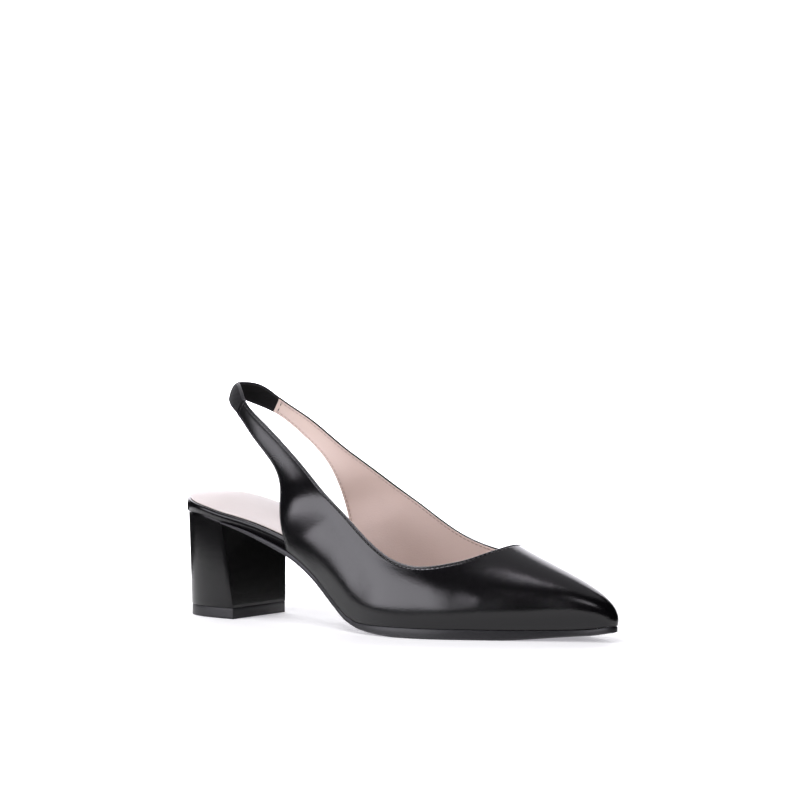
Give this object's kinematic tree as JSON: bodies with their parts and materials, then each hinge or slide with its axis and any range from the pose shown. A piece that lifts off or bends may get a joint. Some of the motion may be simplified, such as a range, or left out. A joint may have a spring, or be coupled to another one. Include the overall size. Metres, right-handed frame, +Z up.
{
  "type": "slingback pump",
  "caption": "Black leather slingback pump with a pointed toe, a block heel, an elastic back strap and a pale padded sock.",
  "frame": {"origin": "on the floor under the middle of the heel's top piece", "axes": "+X to the toe, +Y to the wearer's left (the inner side of this right shoe), +Z up"},
  "size_m": [0.247, 0.0832, 0.1181],
  "materials": {
    "upper": "smooth black leather with a soft satin gloss, pale pinkish leather lining inside",
    "heel_elastic": "black woven elastic, ribbed, matte",
    "insole": "insole board wrapped in smooth black leather, satin",
    "sock": "smooth pale pinkish leather, matte, padded under the heel",
    "outsole": "dark matte soling with a fine groove round its edge",
    "heel": "block heel wrapped in smooth black leather, satin, seam up its front",
    "top_piece": "hard dark rubber, matte"
  },
  "bodies": {
    "root": {"upper": "upper", "heel_elastic": "heel_elastic", "insole": "insole", "sock": "sock", "outsole": "outsole", "heel": "heel", "top_piece": "top_piece"}
  },
  "joints": []
}
